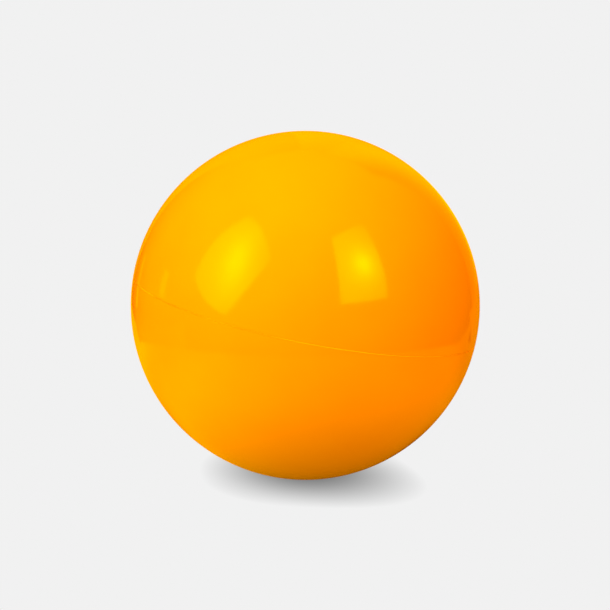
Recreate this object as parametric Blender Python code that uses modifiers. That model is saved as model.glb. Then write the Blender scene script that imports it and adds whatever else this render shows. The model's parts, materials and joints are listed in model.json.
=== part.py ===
"""Table tennis ball, built the way a seamed ball is built.

Two moulded half shells meet at a stepped lap joint, and a ring of solvent cement fills the step
between them. Each piece is turned about the polar axis, local Z, with the seam in the local plane
z = 0. A parent empty at the ball's centre then leans the polar axis, as a ball lies when it has
rolled to rest. Units are metres, +Z is up, and the origin is the centre of the ball.
"""

import math

import bpy

MM = 0.001

# Driving dimensions
BALL_RADIUS = 20.0 * MM
WALL = 0.453 * MM  # thickness of the shell away from the seam
RIM_THICKNESS = 0.85 * MM  # both layers of the lap together
RIM_HEIGHT = 2.2 * MM  # how far the thick rim reaches on each side of the seam
RIM_TAPER = 0.9 * MM  # height over which the thick rim thins to the wall
LAP_HEIGHT = 1.0 * MM  # how far the lower half's tongue stands up inside the upper half
JOINT_GAP = 0.12 * MM  # space between the two halves, which the cement fills
CEMENT_CLEARANCE = 0.01 * MM  # keeps the cement's mesh off the shells' meshes
BEAD_WIDTH = 0.30 * MM  # cement squeezed out on each side of the joint's inner edge
BEAD_HEIGHT = 0.16 * MM  # how far that bead stands into the ball

# How the ball lies: its polar axis leans this far from +Z towards +X
LEAN = math.radians(11.2)

# Smoothness of the turned surfaces
TURN_STEPS = 64
OUTER_ARC_STEPS = 16
INNER_ARC_STEPS = 12
BEAD_ARC_STEPS = 6
POLE_MERGE = 0.02 * MM

# Radii and heights that follow from the driving dimensions
HALF_GAP = JOINT_GAP / 2
INNER_RADIUS = BALL_RADIUS - WALL
RIM_RADIUS = BALL_RADIUS - RIM_THICKNESS
LAP_RADIUS = BALL_RADIUS - RIM_THICKNESS / 2
TONGUE_RADIUS = LAP_RADIUS - HALF_GAP
SKIRT_RADIUS = LAP_RADIUS + HALF_GAP
TAPER_TOP = RIM_HEIGHT + RIM_TAPER

SHELL_ORANGE = (1.0, 0.22, 0.002, 1.0)
CEMENT_AMBER = (1.0, 0.30, 0.01, 1.0)


def clear_scene():
    for obj in list(bpy.data.objects):
        bpy.data.objects.remove(obj)


def plastic(name, colour, roughness):
    """A glossy moulded plastic."""
    material = bpy.data.materials.new(name)
    material.use_nodes = True
    shader = material.node_tree.nodes["Principled BSDF"]
    shader.inputs["Base Color"].default_value = colour
    shader.inputs["Roughness"].default_value = roughness
    shader.inputs["Metallic"].default_value = 0.0
    return material


def arc(radius, start, end, steps):
    """(r, z) points on a circle about the ball's centre, from one latitude to another."""
    latitudes = [start + (end - start) * i / steps for i in range(steps + 1)]
    return [(radius * math.cos(a), radius * math.sin(a)) for a in latitudes]


def latitude(radius, height):
    return math.asin(height / radius)


def upper_profile():
    """Down the outside from the pole, in along the skirt and the rabbet, and up the inside."""
    outside = arc(BALL_RADIUS, math.pi / 2, latitude(BALL_RADIUS, HALF_GAP), OUTER_ARC_STEPS)
    joint = [
        (SKIRT_RADIUS, HALF_GAP),
        (SKIRT_RADIUS, LAP_HEIGHT + HALF_GAP),
        (RIM_RADIUS, LAP_HEIGHT + HALF_GAP),
        (RIM_RADIUS, RIM_HEIGHT),
    ]
    inside = arc(INNER_RADIUS, latitude(INNER_RADIUS, TAPER_TOP), math.pi / 2, INNER_ARC_STEPS)
    return outside + joint + inside


def lower_profile():
    """Up the inside from the pole, over the tongue, out along the butt face and down the outside."""
    inside = arc(INNER_RADIUS, -math.pi / 2, latitude(INNER_RADIUS, -TAPER_TOP), INNER_ARC_STEPS)
    joint = [
        (RIM_RADIUS, -RIM_HEIGHT),
        (RIM_RADIUS, LAP_HEIGHT - HALF_GAP),
        (TONGUE_RADIUS, LAP_HEIGHT - HALF_GAP),
        (TONGUE_RADIUS, -HALF_GAP),
    ]
    outside = arc(BALL_RADIUS, latitude(BALL_RADIUS, -HALF_GAP), -math.pi / 2, OUTER_ARC_STEPS)
    return inside + joint + outside


def bead_arc():
    """The rounded inner face of the squeezed-out bead, from its lower edge to its upper edge."""
    foot_radius = RIM_RADIUS - CEMENT_CLEARANCE
    half_width = HALF_GAP + BEAD_WIDTH
    turns = [math.pi * i / BEAD_ARC_STEPS for i in range(BEAD_ARC_STEPS + 1)]
    return [
        (foot_radius - BEAD_HEIGHT * math.sin(t), LAP_HEIGHT - half_width * math.cos(t))
        for t in turns
    ]


def cement_profile():
    """The stepped section that fills the joint, closed round its inner bead."""
    film = HALF_GAP - CEMENT_CLEARANCE
    lower_inner = (RIM_RADIUS - CEMENT_CLEARANCE, LAP_HEIGHT - film)
    upper_inner = (RIM_RADIUS - CEMENT_CLEARANCE, LAP_HEIGHT + film)
    return [
        (BALL_RADIUS, film),
        (BALL_RADIUS, -film),
        (LAP_RADIUS - film, -film),
        (LAP_RADIUS - film, LAP_HEIGHT - film),
        lower_inner,
        *bead_arc(),
        upper_inner,
        (LAP_RADIUS + film, LAP_HEIGHT + film),
        (LAP_RADIUS + film, film),
    ]


def turned(name, profile, material, closed, collection, parent):
    """An object that turns a profile of (r, z) points about local Z with a Screw modifier."""
    links = [(i, i + 1) for i in range(len(profile) - 1)]
    if closed:
        links.append((len(profile) - 1, 0))
    mesh = bpy.data.meshes.new(name)
    mesh.from_pydata([(r, 0.0, z) for r, z in profile], links, [])
    mesh.materials.append(material)
    obj = bpy.data.objects.new(name, mesh)
    collection.objects.link(obj)
    obj.parent = parent
    screw = obj.modifiers.new("turn", "SCREW")
    screw.axis = "Z"
    screw.angle = math.tau
    screw.steps = TURN_STEPS
    screw.render_steps = TURN_STEPS
    screw.use_merge_vertices = True
    screw.merge_threshold = POLE_MERGE
    screw.use_smooth_shade = True
    return obj


def attitude_empty(collection):
    """The frame of the ball's own polar axis, leaned from the vertical about the ball's centre."""
    empty = bpy.data.objects.new("ball_attitude", None)
    empty.empty_display_size = BALL_RADIUS
    empty.rotation_euler = (0.0, LEAN, 0.0)
    collection.objects.link(empty)
    return empty


def build():
    clear_scene()
    collection = bpy.data.collections.new("table_tennis_ball")
    bpy.context.scene.collection.children.link(collection)
    attitude = attitude_empty(collection)
    shell = plastic("orange_gloss_plastic", SHELL_ORANGE, roughness=0.12)
    cement = plastic("amber_solvent_cement", CEMENT_AMBER, roughness=0.2)
    turned("upper_half_shell", upper_profile(), shell, False, collection, attitude)
    turned("lower_half_shell", lower_profile(), shell, False, collection, attitude)
    turned("seam_cement", cement_profile(), cement, True, collection, attitude)


build()
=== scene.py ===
import json
import math

import bmesh
import bpy
import numpy as np
from mathutils import Matrix, Vector, noise


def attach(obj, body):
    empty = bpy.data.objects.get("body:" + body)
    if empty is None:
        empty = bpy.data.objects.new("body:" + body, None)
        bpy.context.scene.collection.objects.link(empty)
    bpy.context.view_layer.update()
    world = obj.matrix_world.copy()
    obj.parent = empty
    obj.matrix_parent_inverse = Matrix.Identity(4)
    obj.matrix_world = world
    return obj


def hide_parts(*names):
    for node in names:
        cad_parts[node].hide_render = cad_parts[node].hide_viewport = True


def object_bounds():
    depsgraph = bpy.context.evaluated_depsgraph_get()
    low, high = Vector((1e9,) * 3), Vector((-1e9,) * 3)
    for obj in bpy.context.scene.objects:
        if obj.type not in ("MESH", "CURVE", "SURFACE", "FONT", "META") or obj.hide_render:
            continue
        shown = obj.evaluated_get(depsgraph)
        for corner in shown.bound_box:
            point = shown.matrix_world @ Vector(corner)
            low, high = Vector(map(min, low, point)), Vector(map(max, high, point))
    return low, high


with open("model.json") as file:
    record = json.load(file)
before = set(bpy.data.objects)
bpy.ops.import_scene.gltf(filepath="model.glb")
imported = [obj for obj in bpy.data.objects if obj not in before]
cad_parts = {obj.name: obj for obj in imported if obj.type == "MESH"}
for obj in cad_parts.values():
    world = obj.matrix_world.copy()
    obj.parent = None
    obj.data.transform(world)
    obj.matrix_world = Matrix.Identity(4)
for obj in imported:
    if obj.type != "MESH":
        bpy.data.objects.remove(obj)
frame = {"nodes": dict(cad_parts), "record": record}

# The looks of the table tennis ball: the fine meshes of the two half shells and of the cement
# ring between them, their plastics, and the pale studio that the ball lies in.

cad_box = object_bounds()

MM = 0.001

# The ball, as the CAD model has it
CENTRE = (cad_box[0] + cad_box[1]) / 2
BALL_RADIUS = Vector(frame["record"]["mounts"][0]["pos_m"]).length
WALL = 0.453 * MM
RIM_THICKNESS = 0.85 * MM
RIM_HEIGHT = 2.2 * MM
RIM_TAPER = 0.9 * MM
LAP_HEIGHT = 1.0 * MM
JOINT_GAP = 0.12 * MM
CEMENT_CLEARANCE = 0.01 * MM
BEAD_WIDTH = 0.30 * MM
BEAD_HEIGHT = 0.16 * MM

# Fine shape that only the visual meshes have
EDGE_ROUND = 0.025 * MM  # rounding of the shells' outer edges along the seam
EDGE_STAND_OFF = 1.5 * EDGE_ROUND  # how far from that edge the last plain ring lies
CORNER_ROUND = 0.06 * MM  # rounding of the corners inside the joint
WELD_PROUD = 0.008 * MM  # how far the middle of the cement stands out of the seam
WELD_SUNK = 0.4 * EDGE_ROUND  # how far its two edges lie below the ball's surface
SEAM_BAND = 0.35 * MM  # height of the closely ringed band beside the seam
CALM_BAND = 6 * SEAM_BAND  # height above the seam at which the unevenness has its full size
WAVE_HEIGHT = 0.005 * MM  # slow unevenness of the moulded surface
WAVE_LENGTH = 9.0 * MM
WAVE_PLACE = Vector((3.1, 7.7, 1.9))  # which stretch of the noise the surface shows
PEEL_HEIGHT = 0.0008 * MM  # quicker unevenness on top of it
PEEL_LENGTH = 2.6 * MM
BEAD_WANDER = 0.25  # share of its height by which the inner bead varies round the ball
BEAD_WANDER_LENGTH = 3.0 * MM

# Mesh fineness
CUBE_CUTS = 71  # cuts along each edge of the cube that the caps are made from
FILLET_STEPS = 5
BEAD_STEPS = 10
WELD_STEPS = (-0.85, -0.6, -0.3, 0.0, 0.3, 0.6, 0.85)  # the weld's rings; its edges are -1 and 1
TOUCH = 0.001 * MM  # points closer than this are one point
SHELL_SHARP = math.radians(50)  # edges that turn by more than this stay sharp
CEMENT_SHARP = math.radians(40)

# Radii and heights that follow
HALF_GAP = JOINT_GAP / 2
INNER_RADIUS = BALL_RADIUS - WALL
RIM_RADIUS = BALL_RADIUS - RIM_THICKNESS
LAP_RADIUS = BALL_RADIUS - RIM_THICKNESS / 2
TAPER_TOP = RIM_HEIGHT + RIM_TAPER

# The view
AZIMUTH = 0.0
ELEVATION = 11.0
LENS = 75.0  # mm, on a sensor 36 mm wide
SENSOR = 36.0
BALL_SPAN = 0.5725  # the ball's diameter as a share of the frame's width
FRAME_SHIFT = (-0.0004, 0.0006)

# The studio
PALE = 0.8796  # the floor and background, in linear light


def polar_axis():
    """The direction square to the seam, from the flattest direction of the CAD cement ring."""
    points = np.array([v.co for v in frame["nodes"]["seam_cement"].data.vertices])
    points -= points.mean(axis=0)
    axis = Vector(np.linalg.eigh(points.T @ points)[1][:, 0])
    return axis if axis.z > 0 else -axis


BALL_TURN = Vector((0, 0, 1)).rotation_difference(polar_axis()).to_matrix().to_4x4()


# ---------------------------------------------------------------- meshes

def unevenness(direction):
    """How far the moulded surface stands out in this direction, fading to nothing at the seam."""
    point = direction * BALL_RADIUS
    height = WAVE_HEIGHT * noise.noise(point / WAVE_LENGTH + WAVE_PLACE)
    height += PEEL_HEIGHT * noise.noise(point / PEEL_LENGTH)
    fade = min(abs(point.z) / CALM_BAND, 1.0)
    return height * fade * fade * (3 - 2 * fade)


def add_cap(bm, radius, edge_height, wavy):
    """Adds the top of a sphere to bm, down to edge_height, with even squares all over.

    It is a finely cut cube's upper half, blown up to a sphere and drawn together towards the pole
    until its rim lies at edge_height. Returns the new faces.
    """
    cap = bmesh.new()
    bmesh.ops.create_cube(cap, size=2.0)
    bmesh.ops.subdivide_edges(cap, edges=cap.edges[:], cuts=CUBE_CUTS, use_grid_fill=True)
    # the cube's middle row of points, at z = 0, stays and becomes the rim
    below = [v for v in cap.verts if v.co.z < -0.5 / CUBE_CUTS]
    bmesh.ops.delete(cap, geom=below, context="VERTS")
    squeeze = math.acos(edge_height / radius) / (math.pi / 2)
    for v in cap.verts:
        even = Vector([math.tan(c * math.pi / 4) for c in v.co]).normalized()
        polar = math.acos(max(-1.0, min(1.0, even.z))) * squeeze
        turn = math.atan2(even.y, even.x)
        flat = math.sin(polar)
        direction = Vector((flat * math.cos(turn), flat * math.sin(turn), math.cos(polar)))
        v.co = direction * (radius + (unevenness(direction) if wavy else 0.0))
    mesh = bpy.data.meshes.new("cap")
    cap.to_mesh(mesh)
    cap.free()
    start = len(bm.faces)
    bm.from_mesh(mesh)
    bpy.data.meshes.remove(mesh)
    bm.faces.ensure_lookup_table()
    return bm.faces[start:]


def rim_edges(faces):
    return [e for f in faces for e in f.edges if e.is_boundary]


def pull_rim(bm, edges, profile):
    """Extrudes a ring of edges through the (r, z) points of a profile, in turn."""
    for radius, height in profile:
        made = bmesh.ops.extrude_edge_only(bm, edges=edges)["geom"]
        for v in (g for g in made if isinstance(g, bmesh.types.BMVert)):
            turn = math.atan2(v.co.y, v.co.x)
            v.co = Vector((radius * math.cos(turn), radius * math.sin(turn), height))
        edges = [g for g in made if isinstance(g, bmesh.types.BMEdge)]


def rounded(points):
    """The (r, z) line through (r, z, rounding) points, with a smooth curve at each rounded one."""
    line = []
    for i, (r, z, size) in enumerate(points):
        here = Vector((r, z))
        if size == 0.0:
            line.append(here)
            continue
        before = Vector(points[i - 1][:2]) - here
        after = Vector(points[i + 1][:2]) - here
        start = here + before.normalized() * min(size, before.length / 2)
        end = here + after.normalized() * min(size, after.length / 2)
        for k in range(FILLET_STEPS + 1):
            t = k / FILLET_STEPS
            line.append(start * (1 - t) ** 2 + here * 2 * t * (1 - t) + end * t * t)
    return [tuple(p) for p in line]


def on_sphere(radius, height):
    return math.sqrt(radius * radius - height * height), height


def outer_band():
    """Closely spaced rings down the outside, from the cap's edge to the seam's rounded edge."""
    heights = [SEAM_BAND * share for share in (0.8, 0.6, 0.45, 0.35)]
    return [on_sphere(BALL_RADIUS, h) for h in heights]


def inner_taper():
    """Rings from the thick rim's top up to the thin wall, along a smooth S."""
    rings = []
    for share in (0.15, 0.3, 0.45, 0.6, 0.75, 0.9):
        height = RIM_HEIGHT + RIM_TAPER * share
        ease = share * share * (3 - 2 * share)
        wall_radius = on_sphere(INNER_RADIUS, height)[0]
        rings.append((RIM_RADIUS + (wall_radius - RIM_RADIUS) * ease, height))
    return rings


def upper_rim():
    """From the outer cap's edge, round the butt face and the rabbet, to the inner cap's edge."""
    skirt = LAP_RADIUS + HALF_GAP
    joint = rounded([
        (*on_sphere(BALL_RADIUS, HALF_GAP + EDGE_STAND_OFF), 0.0),
        (*on_sphere(BALL_RADIUS, HALF_GAP), EDGE_ROUND),
        (skirt, HALF_GAP, CORNER_ROUND),
        (skirt, LAP_HEIGHT + HALF_GAP, CORNER_ROUND),
        (RIM_RADIUS, LAP_HEIGHT + HALF_GAP, CORNER_ROUND),
        (RIM_RADIUS, RIM_HEIGHT, 0.0),
    ])
    return outer_band() + joint + inner_taper() + [on_sphere(INNER_RADIUS, TAPER_TOP)]


def lower_rim():
    """The same for the lower half, drawn upside down: its tongue reaches past the seam."""
    tongue = LAP_RADIUS - HALF_GAP
    tip = -(LAP_HEIGHT - HALF_GAP)
    joint = rounded([
        (*on_sphere(BALL_RADIUS, HALF_GAP + EDGE_STAND_OFF), 0.0),
        (*on_sphere(BALL_RADIUS, HALF_GAP), EDGE_ROUND),
        (tongue, HALF_GAP, CORNER_ROUND),
        (tongue, tip, CORNER_ROUND),
        (RIM_RADIUS, tip, CORNER_ROUND),
        (RIM_RADIUS, RIM_HEIGHT, 0.0),
    ])
    return outer_band() + joint + inner_taper() + [on_sphere(INNER_RADIUS, TAPER_TOP)]


def finish_mesh(name, bm, sharp_angle):
    """Leans the mesh as the ball lies, and makes a smooth-shaded object of it at CENTRE."""
    bmesh.ops.recalc_face_normals(bm, faces=bm.faces)
    bmesh.ops.transform(bm, matrix=BALL_TURN, verts=bm.verts)
    mesh = bpy.data.meshes.new(name)
    bm.to_mesh(mesh)
    bm.free()
    mesh.shade_smooth()
    mesh.set_sharp_from_angle(angle=sharp_angle)
    obj = bpy.data.objects.new(name, mesh)
    bpy.context.scene.collection.objects.link(obj)
    obj.location = CENTRE
    return obj


def half_shell(name, rim, upside_down):
    """A half shell with its wall, its thick rim and its half of the lap joint."""
    bm = bmesh.new()
    outer = add_cap(bm, BALL_RADIUS, SEAM_BAND, wavy=True)
    pull_rim(bm, rim_edges(outer), rim)
    add_cap(bm, INNER_RADIUS, TAPER_TOP, wavy=False)
    bmesh.ops.remove_doubles(bm, verts=bm.verts, dist=2 * TOUCH)
    if upside_down:
        bmesh.ops.transform(bm, matrix=Matrix.Diagonal((1, 1, -1, 1)), verts=bm.verts)
    return finish_mesh(name, bm, SHELL_SHARP)


def cement_section():
    """The cement's section: a slightly proud weld outside, the stepped film, the bead inside."""
    film = HALF_GAP - CEMENT_CLEARANCE
    edge = BALL_RADIUS - WELD_SUNK
    weld = [(BALL_RADIUS + WELD_PROUD - (WELD_PROUD + WELD_SUNK) * s * s, -film * s)
            for s in WELD_STEPS]
    foot = RIM_RADIUS - CEMENT_CLEARANCE
    half_width = HALF_GAP + BEAD_WIDTH
    turns = [math.pi * i / BEAD_STEPS for i in range(BEAD_STEPS + 1)]
    bead = [(foot - BEAD_HEIGHT * math.sin(t), LAP_HEIGHT - half_width * math.cos(t))
            for t in turns]
    return [
        (edge, film),
        *weld,
        (edge, -film),
        (LAP_RADIUS - film, -film),
        (LAP_RADIUS - film, LAP_HEIGHT - film),
        (foot, LAP_HEIGHT - film),
        *bead,
        (foot, LAP_HEIGHT + film),
        (LAP_RADIUS + film, LAP_HEIGHT + film),
        (LAP_RADIUS + film, film),
    ]


def cement_ring(name):
    """The ring of cured cement. Its inner bead swells and thins a little on its way round."""
    section = cement_section()
    bm = bmesh.new()
    verts = [bm.verts.new((r, 0.0, z)) for r, z in section]
    edges = [bm.edges.new((a, b)) for a, b in zip(verts, verts[1:] + verts[:1])]
    bmesh.ops.spin(
        bm, geom=verts + edges, axis=(0, 0, 1), cent=(0, 0, 0), angle=math.tau,
        steps=4 * (CUBE_CUTS + 1), use_merge=True,
    )
    bmesh.ops.remove_doubles(bm, verts=bm.verts, dist=TOUCH)
    foot = RIM_RADIUS - CEMENT_CLEARANCE
    for v in bm.verts:
        radius = math.hypot(v.co.x, v.co.y)
        if radius < foot - TOUCH:
            beside = Vector((v.co.x, v.co.y, 0.0))
            swell = 1 + BEAD_WANDER * noise.noise(beside / BEAD_WANDER_LENGTH)
            scale = (foot - (foot - radius) * swell) / radius
            v.co = Vector((v.co.x * scale, v.co.y * scale, v.co.z))
    return finish_mesh(name, bm, CEMENT_SHARP)


# ---------------------------------------------------------------- node helpers

def put(tree, socket, value):
    """Sets a socket to a number or vector, or links another socket to it."""
    if isinstance(value, bpy.types.NodeSocket):
        tree.links.new(value, socket)
    else:
        socket.default_value = value


def calc(tree, operation, *values):
    """A Math node over sockets and numbers; returns its output."""
    node = tree.nodes.new("ShaderNodeMath")
    node.operation = operation
    for socket, value in zip(node.inputs, values):
        put(tree, socket, value)
    return node.outputs[0]


def sum_of(tree, values):
    total = values[0]
    for value in values[1:]:
        total = calc(tree, "ADD", total, value)
    return total


def vector_calc(tree, operation, *values):
    """A Vector Math node over sockets and vectors; returns the node, which has two outputs."""
    node = tree.nodes.new("ShaderNodeVectorMath")
    node.operation = operation
    for socket, value in zip(node.inputs, values):
        put(tree, socket, value)
    return node


def dot(tree, vector, direction):
    return vector_calc(tree, "DOT_PRODUCT", vector, direction).outputs["Value"]


def ramp(tree, value, low, high, to_low=0.0, to_high=1.0):
    """Takes value from low..high to to_low..to_high along a smooth S, and holds it outside."""
    node = tree.nodes.new("ShaderNodeMapRange")
    node.interpolation_type = "SMOOTHSTEP"
    for socket, v in zip(node.inputs[:5], (value, low, high, to_low, to_high)):
        put(tree, socket, v)
    return node.outputs[0]


def clouds(tree, vector, scale, detail, roughness=0.5):
    node = tree.nodes.new("ShaderNodeTexNoise")
    node.inputs["Scale"].default_value = scale
    node.inputs["Detail"].default_value = detail
    node.inputs["Roughness"].default_value = roughness
    put(tree, node.inputs["Vector"], vector)
    return node.outputs["Fac"]


def mix_colours(tree, share, colour_a, colour_b):
    node = tree.nodes.new("ShaderNodeMix")
    node.data_type = "RGBA"
    put(tree, node.inputs["Factor"], share)
    node.inputs[6].default_value = colour_a
    node.inputs[7].default_value = colour_b
    return node.outputs[2]


def object_coordinates(tree):
    return tree.nodes.new("ShaderNodeTexCoord").outputs["Object"]


def blank_material(name, shader_type):
    """A material with one shader and nothing else, returned with its tree and that shader."""
    material = bpy.data.materials.new(name)
    material.use_nodes = True
    tree = material.node_tree
    tree.nodes.clear()
    shader = tree.nodes.new(shader_type)
    output = tree.nodes.new("ShaderNodeOutputMaterial")
    tree.links.new(shader.outputs[0], output.inputs["Surface"])
    return material, tree, shader


def aimed(azimuth, elevation):
    """The unit direction at this bearing: azimuth 0 is -Y, 90 is +X, in degrees."""
    a, e = math.radians(azimuth), math.radians(elevation)
    return Vector((math.sin(a) * math.cos(e), -math.cos(a) * math.cos(e), math.sin(e)))


# ---------------------------------------------------------------- plastics

PALE_ORANGE = (1.0, 0.185, 0.0, 1.0)
DEEP_ORANGE = (0.96, 0.165, 0.0, 1.0)
# lighter amber, for the painted highlight along the seam line
SEAM_HIGHLIGHT_AMBER = (1.0, 0.25, 0.0, 1.0)

# The plastics' gloss and fine grain
PLASTIC_IOR = 1.5
GLOSS_TINT = (1.0, 0.92, 0.25, 1.0)
CLOUDS_PER_METRE = 180.0
SMUDGES_PER_METRE = 320.0
PEEL_PER_METRE = 1100.0
PEEL_DEPTH = 0.0012 * MM

# Where the painted highlight on the seam line grows (1) or fades (-1), from the shells' orange to
# lighter amber: from, to (shares of the radius to +X), change
SEAM_HIGHLIGHT_STEPS = ((-0.93, -0.89, 1.0), (-0.83, -0.79, -1.0), (-0.35, 0.0, 1.0), (0.65, 0.9, -1.0))


def clouded_orange(tree, place):
    """The shells' orange, faintly clouded."""
    share = clouds(tree, place, CLOUDS_PER_METRE, 3.0)
    return mix_colours(tree, share, PALE_ORANGE, DEEP_ORANGE)


def seam_colour_with_painted_highlight(tree, place):
    """The cement's colour: the shells' orange, with a painted highlight in lighter amber on
    stretches along +X, where the seam line catches the light.
    """
    right = dot(tree, place, (1 / BALL_RADIUS, 0.0, 0.0))
    changes = [ramp(tree, right, start, end, 0.0, change) for start, end, change in SEAM_HIGHLIGHT_STEPS]
    return mix_colours(tree, sum_of(tree, changes), DEEP_ORANGE, SEAM_HIGHLIGHT_AMBER)


def ball_plastic(name, colour, smoothest, roughest):
    """Glossy moulded plastic coloured by colour(tree, place), with smudges and fine orange peel."""
    material, tree, shader = blank_material(name, "ShaderNodeBsdfPrincipled")
    place = object_coordinates(tree)
    put(tree, shader.inputs["Base Color"], colour(tree, place))
    smudges = clouds(tree, place, SMUDGES_PER_METRE, 4.0, 0.6)
    roughness = ramp(tree, smudges, 0.3, 0.7, smoothest, roughest)
    put(tree, shader.inputs["Roughness"], roughness)
    peel = tree.nodes.new("ShaderNodeBump")
    peel.inputs["Strength"].default_value = 1.0
    peel.inputs["Distance"].default_value = PEEL_DEPTH
    put(tree, peel.inputs["Height"], clouds(tree, place, PEEL_PER_METRE, 2.0))
    put(tree, shader.inputs["Normal"], peel.outputs["Normal"])
    shader.inputs["IOR"].default_value = PLASTIC_IOR
    shader.inputs["Specular Tint"].default_value = GLOSS_TINT
    return material


# ---------------------------------------------------------------- studio

# Tints of what only the gloss shows. None has any blue, so the gloss stays orange to yellow.
STUDIO_TINT = (2.6, 1.0, 0.0, 1.0)
WARM_TINT = (4.5, 1.0, 0.0, 1.0)  # redder, for cards that only the ball's right edge shows
FLAG_TINT = (2.0, 0.0, 0.0, 1.0)  # dark flags: they dim the gloss and leave its orange deep
CARD_DISTANCE = 75 * BALL_RADIUS
CARD_STEPS = 24

# Broad soft lights for the plastic's own colour: (azimuth, elevation, strength, falloff, redness)
SOFT_LIGHTS = (
    (-54, 24, 6.1, 3.0, 0.65),
    (70, 19, 2.4, 3.0, 1.0),
    (-5, 25, 0.6, 3.0, 0.8),
    (175, 5, 6.0, 7.0, 0.9),
)

# Broad glows of the room that the gloss shows: (azimuth, elevation, strength, falloff)
ROOM_GLOWS = ((0, 90, 1.85, 2.0), (0, 30, 0.5, 1.0), (180, 60, 0.45, 2.0))

# The floor as the gloss shows it: a glow, with its light and shade painted on. Places and sizes are
# in ball radii, to the right and to the back.
FLOOR_FRONT = 3.4  # radius of its round front
FRONT_ARC = 127  # degrees that the round front reaches to each side
FRONT_STEPS = 48
FLOOR_BACK = ((5.5, 3.8), (5.5, 8.0), (-2.9, 8.0), (-3.4, 3.2))  # corners of its wider back
FRONT_LEVEL = 0.73
BACK_LEVELS = (0.6, 0.3)  # on the left and on the right
# UNDER_BALL sets how deep the painted shade under the ball goes
UNDER_BALL = 0.1  # what is left of the glow right under the ball
BOUNCE_DROP = 0.2 * MM  # how far it lies below the floor that the camera sees

# Painted pools of light (lighter) and painted shade (darker) on it: (right, back, size, strength)
PAINTED_FLOOR_LIGHT_AND_SHADE = (
    (-1.2, -0.9, 1.1, 1.4),
    (0.45, 0.35, 0.55, -0.6),
    (-0.85, 0.6, 0.5, -0.35),
    (-2.7, 1.5, 0.9, 0.3),
    (1.2, -1.1, 0.75, 0.45),
    (0.0, -0.9, 0.6, -0.3),
    (-2.3, -1.9, 0.9, 0.35),
)

# The floor that the camera sees, a glow with the ball's shadow painted on it
FLOOR_REACH = 150 * BALL_RADIUS
FLOOR_EXPOSURE = 2.04  # how far past white the open floor is lit
# No lamp stands at LOW_LIGHT: the shadow it would cast on the floor is painted, as is the ball's
# shade from the sky.
LOW_LIGHT = (-128, 3)  # azimuth and elevation of a low light from the back left
LOW_LIGHT_SHARE = 0.17
LOW_SHADE_EDGE = (0.85 * BALL_RADIUS, 1.12 * BALL_RADIUS)  # from full shade to none


def glow_material(name, build, tint=STUDIO_TINT):
    """An emission of this tint, whose strength is worked out by build(tree)."""
    material, tree, shader = blank_material(name, "ShaderNodeEmission")
    shader.inputs["Color"].default_value = tint
    put(tree, shader.inputs["Strength"], build(tree))
    return material


def mesh_object(name, bm, material):
    mesh = bpy.data.meshes.new(name)
    bm.to_mesh(mesh)
    bm.free()
    mesh.materials.append(material)
    obj = bpy.data.objects.new(name, mesh)
    bpy.context.scene.collection.objects.link(obj)
    return obj


def reflection_only(obj):
    """Seen in the ball's gloss, and in nothing else."""
    obj.visible_camera = False
    obj.visible_diffuse = False
    obj.visible_transmission = False
    obj.visible_shadow = False


def upright(left, right, low, high):
    """The corners of a card between two azimuths and two elevations."""
    return ((left, low), (right, low), (right, high), (left, high))


def card(name, corners, strength, nearness=1.0, tint=STUDIO_TINT, bulge=0.0):
    """A glowing panel hung far round the ball, its corners at these (azimuth, elevation) bearings.

    Two low corners come first, then the two high ones, coming back. The strength is one number, or
    a function strength(tree, across, up) of the shares of the width, from the first corner to the
    second, and of the height. Nearness is a share of CARD_DISTANCE: nearer cards hide farther ones.
    A bulge pushes the sides out between the corners.
    """
    bm = bmesh.new()
    bm.loops.layers.uv.new("card")
    bmesh.ops.create_grid(
        bm, x_segments=CARD_STEPS, y_segments=CARD_STEPS, size=0.5, calc_uvs=True)
    low_first, low_second, high_second, high_first = (aimed(*bearing) for bearing in corners)
    for v in bm.verts:
        across = v.co.x * (1 + bulge * (1 - 4 * v.co.y ** 2)) + 0.5
        up = v.co.y * (1 + bulge * (1 - 4 * v.co.x ** 2)) + 0.5
        low = low_first.lerp(low_second, across)
        high = high_first.lerp(high_second, across)
        v.co = low.lerp(high, up).normalized() * CARD_DISTANCE * nearness

    def build(tree):
        if not callable(strength):
            return strength
        place = tree.nodes.new("ShaderNodeSeparateXYZ")
        put(tree, place.inputs[0], tree.nodes.new("ShaderNodeTexCoord").outputs["UV"])
        return strength(tree, place.outputs[0], place.outputs[1])

    obj = mesh_object(name, bm, glow_material(name, build, tint))
    obj.location = CENTRE
    reflection_only(obj)


def softbox(name, corners, sides, hot, hot_place, hot_size, slant, bulge):
    """A softbox: a glow that changes from its first side to its second, and a hot spot.

    The hot spot's place and size are shares of the width and height. It leans towards the first
    side, by slant times the height above its middle.
    """

    def strength(tree, across, up):
        beside, above = (calc(tree, "SUBTRACT", share, place)
                         for share, place in zip((across, up), hot_place))
        beside = calc(tree, "ADD", beside, calc(tree, "MULTIPLY", above, slant))
        offsets = [calc(tree, "DIVIDE", offset, size)
                   for offset, size in zip((beside, above), hot_size)]
        away = sum_of(tree, [calc(tree, "MULTIPLY", x, x) for x in offsets])
        peak = calc(tree, "DIVIDE", hot, calc(tree, "ADD", away, 1.0))
        even = ramp(tree, across, 0.0, 1.0, *sides)
        return calc(tree, "ADD", even, peak)

    card(name, corners, strength, bulge=bulge)


def graded(foot, top, start=0.0):
    """A card's glow that runs from foot to top, beginning at a share of the height."""
    return lambda tree, across, up: ramp(tree, up, start, 1.0, foot, top)


def backdrop_glow(tree, across, up):
    """The backdrop on the right: brighter upwards, and brightest just past the middle."""
    rise = ramp(tree, up, 0.0, 1.0, 0.38, 1.45)
    growth = ramp(tree, across, 0.0, 0.55, 0.5, 1.2)
    decline = ramp(tree, across, 0.55, 0.8, 0.0, -0.2)
    return calc(tree, "MULTIPLY", rise, calc(tree, "ADD", growth, decline))


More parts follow.
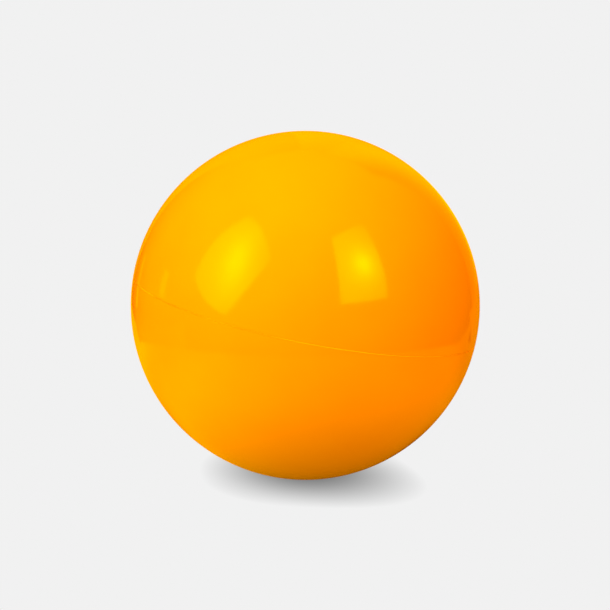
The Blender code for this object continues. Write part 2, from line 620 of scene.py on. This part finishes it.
def softboxes():
    """The two softboxes that the front of the ball shows."""
    softbox("softbox_left", ((-79, 16.5), (-51, 1.5), (-26.5, 38), (-68, 58)), sides=(2.0, 1.7),
            hot=7.2, hot_place=(0.55, 0.58), hot_size=(0.26, 0.27), slant=0.4, bulge=0.14)
    softbox("softbox_right", ((22.5, 11), (54, 11), (62, 53.5), (25, 51.5)), sides=(3.7, 2.3),
            hot=10.0, hot_place=(0.59, 0.49), hot_size=(0.21, 0.16), slant=0.1, bulge=0.03)


def backdrop_cards():
    """The backdrop, flags and strips that the edge of the ball shows."""
    card("backdrop_right", upright(137, 182, -10, 50), backdrop_glow, tint=WARM_TINT)
    card("backdrop_left", upright(-178, -153, -10, 50), graded(0.35, 1.2))
    card("rim_light", upright(158, 171, -6, 4.5), graded(0.75, 0.9), 0.9, WARM_TINT)
    card("flag_left", ((-160, -14), (-144, -14), (-144, 1), (-153, 1)), 0.3, 0.9, FLAG_TINT)
    card("stand_left", upright(-142.5, -139, -13, 3), graded(0.6, 0.4), 0.9)
    card("flag_far_left", upright(-138, -124, -13, 3), 0.3, 0.9, FLAG_TINT)
    card("cove", ((110, -20), (137, -20), (137, -10.5), (136, -11)), 0.27)
    card("far_floor_left", ((-142, -20), (-82, -20), (-82, -2), (-142, -9)),
         graded(0.38, 0.0, start=0.4), 0.85)
    card("strip_left", upright(-108, -102, 1, 11), 1.1, 0.9)


def open_sky(tree, place, darkest=0.0):
    """How much of the sky a spot of the floor sees past the ball on it, but at least darkest. It is
    worked out by formula, to paint the ball's shade onto the floors' glows.
    """
    squared = calc(tree, "DIVIDE", dot(tree, place, place), BALL_RADIUS ** 2)
    covered = calc(tree, "POWER", calc(tree, "ADD", squared, 1.0), -1.5)
    return calc(tree, "SUBTRACT", 1.0, calc(tree, "MULTIPLY", covered, 1 - darkest))


def floor_bounce():
    """The lit floor as the ball's gloss sees it: a glow with painted shade under the ball, and
    painted pools of light and painted shade round it.
    """
    step = math.radians(FRONT_ARC / FRONT_STEPS)
    turns = [step * i for i in range(-FRONT_STEPS, FRONT_STEPS + 1)]
    front = [(FLOOR_FRONT * math.sin(t), -FLOOR_FRONT * math.cos(t)) for t in turns]
    bm = bmesh.new()
    bm.faces.new([bm.verts.new((x * BALL_RADIUS, y * BALL_RADIUS, 0.0))
                  for x, y in (*front, *FLOOR_BACK)])

    def build(tree):
        place = object_coordinates(tree)
        scale = 1 / BALL_RADIUS
        right = dot(tree, place, (scale, 0.0, 0.0))
        back = dot(tree, place, (0.0, scale, 0.0))
        behind = ramp(tree, right, -0.1, 0.9, *BACK_LEVELS)
        level = ramp(tree, back, -0.3, 1.3, FRONT_LEVEL, behind)
        for *spot, size, strength in PAINTED_FLOOR_LIGHT_AND_SHADE:
            offsets = [calc(tree, "SUBTRACT", a, b) for a, b in zip((right, back), spot)]
            away = sum_of(tree, [calc(tree, "MULTIPLY", x, x) for x in offsets])
            patch = calc(tree, "POWER", math.e, calc(tree, "DIVIDE", away, -size * size))
            level = calc(tree, "ADD", level, calc(tree, "MULTIPLY", patch, strength))
        # the ball's shade under it is painted by formula
        return calc(tree, "MULTIPLY", level, open_sky(tree, place, UNDER_BALL))

    obj = mesh_object("floor_bounce", bm, glow_material("floor_bounce", build))
    obj.location = CENTRE - Vector((0, 0, BALL_RADIUS + BOUNCE_DROP))
    reflection_only(obj)


def past_the_ball(tree, place):
    """The share of the low light that gets past the ball to a spot of the floor, softly edged: a
    painted shadow, worked out by formula, of a light that isn't there.
    """
    to_ball = vector_calc(tree, "SUBTRACT", (0.0, 0.0, BALL_RADIUS), place).outputs["Vector"]
    beside = vector_calc(tree, "CROSS_PRODUCT", to_ball, aimed(*LOW_LIGHT)).outputs["Vector"]
    distance = vector_calc(tree, "LENGTH", beside).outputs["Value"]
    return ramp(tree, distance, *LOW_SHADE_EDGE)


def floor():
    """The pale floor: a glow with the ball's shadow painted on it. Its painted light goes past
    white, so the painted shadow shows only where it is deep.
    """
    bm = bmesh.new()
    bmesh.ops.create_grid(bm, x_segments=1, y_segments=1, size=FLOOR_REACH)
    material, tree, shader = blank_material("pale_floor", "ShaderNodeEmission")
    place = object_coordinates(tree)
    sky = calc(tree, "MULTIPLY", open_sky(tree, place), 1 - LOW_LIGHT_SHARE)
    low = calc(tree, "MULTIPLY", past_the_ball(tree, place), LOW_LIGHT_SHARE)
    lit = calc(tree, "MULTIPLY", calc(tree, "ADD", sky, low), FLOOR_EXPOSURE)
    put(tree, shader.inputs["Strength"],
        calc(tree, "MULTIPLY", calc(tree, "MINIMUM", lit, 1.0), PALE))
    obj = mesh_object("floor", bm, material)
    obj.location = CENTRE - Vector((0, 0, BALL_RADIUS))
    obj.visible_diffuse = False
    obj.visible_glossy = False
    obj.visible_transmission = False


def studio_world():
    """Soft light by direction for the plastic's colour, a dim warm room for its gloss.

    The camera sees an even pale background. The world isn't sampled as a lamp, because Light Path
    tells apart only the rays that really reach it.
    """
    world = bpy.data.worlds.new("studio")
    world.use_nodes = True
    world.cycles.sampling_method = "NONE"
    bpy.context.scene.world = world
    tree = world.node_tree
    tree.nodes.clear()
    direction = tree.nodes.new("ShaderNodeTexCoord").outputs["Generated"]
    path = tree.nodes.new("ShaderNodeLightPath")

    def background(colour, strength):
        node = tree.nodes.new("ShaderNodeBackground")
        node.inputs["Color"].default_value = colour
        put(tree, node.inputs["Strength"], strength)
        return node.outputs[0]

    def glow(azimuth, elevation, strength, falloff):
        facing = calc(tree, "MAXIMUM", dot(tree, direction, aimed(azimuth, elevation)), 0.0)
        return calc(tree, "MULTIPLY", calc(tree, "POWER", facing, falloff), strength)

    def together(shaders):
        total = shaders[0]
        for shader in shaders[1:]:
            node = tree.nodes.new("ShaderNodeAddShader")
            tree.links.new(total, node.inputs[0])
            tree.links.new(shader, node.inputs[1])
            total = node.outputs[0]
        return total

    def choose(share, a, b):
        node = tree.nodes.new("ShaderNodeMixShader")
        put(tree, node.inputs[0], share)
        tree.links.new(a, node.inputs[1])
        tree.links.new(b, node.inputs[2])
        return node.outputs[0]

    soft = together([
        background((redness, 1.0, 0.0, 1.0), glow(*light)) for *light, redness in SOFT_LIGHTS
    ])
    room = together([background(STUDIO_TINT, glow(*light)) for light in ROOM_GLOWS])
    lit = choose(path.outputs["Is Glossy Ray"], soft, room)
    seen = choose(path.outputs["Is Camera Ray"], lit, background((1.0, 1.0, 1.0, 1.0), PALE))
    output = tree.nodes.new("ShaderNodeOutputWorld")
    tree.links.new(seen, output.inputs["Surface"])


def camera():
    data = bpy.data.cameras.new("camera")
    data.lens = LENS
    data.sensor_width = SENSOR
    data.shift_x, data.shift_y = FRAME_SHIFT
    data.clip_start = 0.01
    data.clip_end = 20.0
    obj = bpy.data.objects.new("camera", data)
    bpy.context.scene.collection.objects.link(obj)
    half_angle = math.atan(BALL_SPAN * SENSOR / 2 / LENS)
    back = aimed(AZIMUTH, ELEVATION)
    obj.location = CENTRE + back * (BALL_RADIUS / math.sin(half_angle))
    obj.rotation_euler = (-back).to_track_quat("-Z", "Y").to_euler()
    bpy.context.scene.camera = obj


# ---------------------------------------------------------------- the ball

shell_plastic = ball_plastic(
    "orange_moulded_plastic", clouded_orange, smoothest=0.08, roughest=0.11)
# the cement's colour carries a painted highlight along the seam line
cement_plastic = ball_plastic("cured_cement", seam_colour_with_painted_highlight, smoothest=0.16, roughest=0.24)

upper = half_shell("upper_half", upper_rim(), upside_down=False)
lower = half_shell("lower_half", lower_rim(), upside_down=True)
cement = cement_ring("seam_weld")

for piece, node, material, slot in (
    (upper, "upper_half_shell", shell_plastic, "shell"),
    (lower, "lower_half_shell", shell_plastic, "shell"),
    (cement, "seam_cement", cement_plastic, "cement"),
):
    piece.data.materials.append(material)
    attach(piece, "root")
    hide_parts(node)

floor()
floor_bounce()
softboxes()
backdrop_cards()
studio_world()
camera()
bpy.context.scene.view_settings.view_transform = "Standard"
